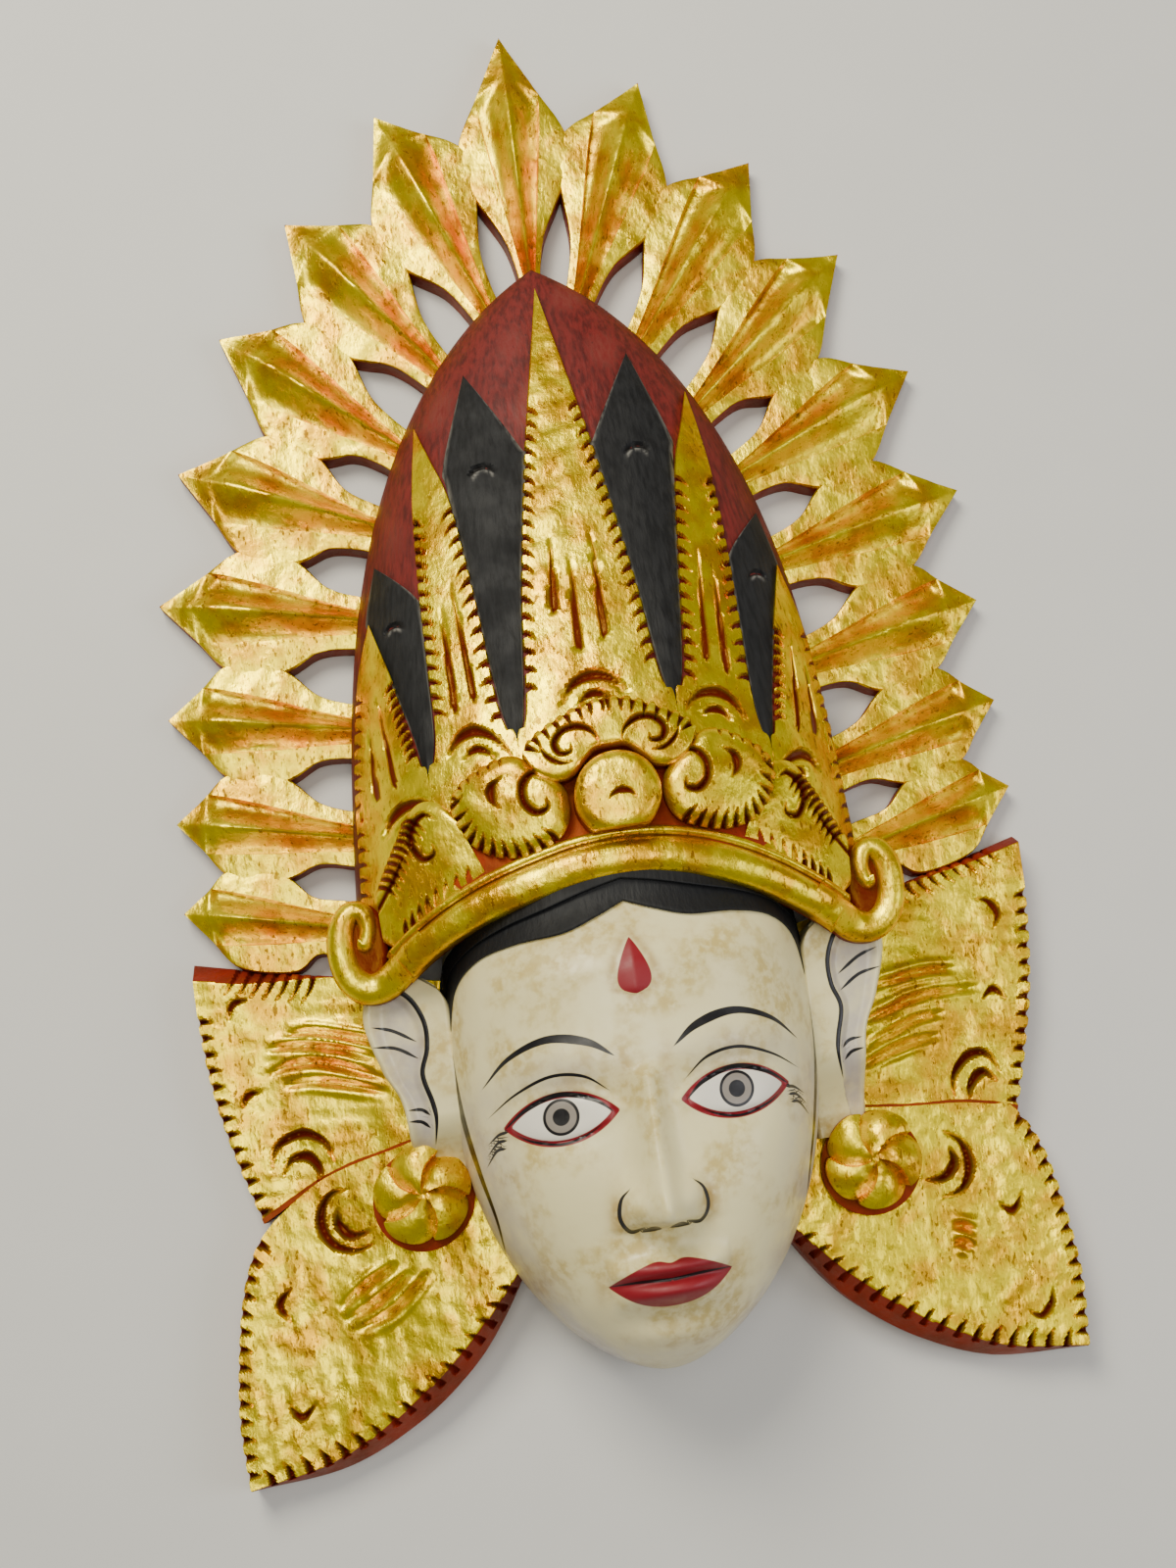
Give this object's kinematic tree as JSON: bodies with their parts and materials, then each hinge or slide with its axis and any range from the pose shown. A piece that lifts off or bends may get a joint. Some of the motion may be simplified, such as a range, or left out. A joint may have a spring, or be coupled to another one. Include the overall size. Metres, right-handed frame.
{
  "type": "carved wooden mask",
  "caption": "Carved, gilded and painted wooden wall mask of a crowned goddess with a pierced halo of petals and leaf wings at the ears.",
  "frame": {"origin": "middle of the bounding box, on the flat back that the mask lies on", "axes": "X across the face, Y from chin to the crown's top, Z out of the face"},
  "size_m": [0.29, 0.5052, 0.1024],
  "materials": {
    "gilded_wood": "gold leaf over red bole on carved softwood, slightly rubbed on the high places",
    "painted_wood_cream": "cream white paint with a soft gloss and a yellowish patina in the recesses",
    "painted_wood_red": "brick red matt paint",
    "painted_wood_charcoal": "charcoal grey matt paint with the grain showing"
  },
  "bodies": {
    "root": {"mask": "gilded_wood"}
  },
  "joints": []
}
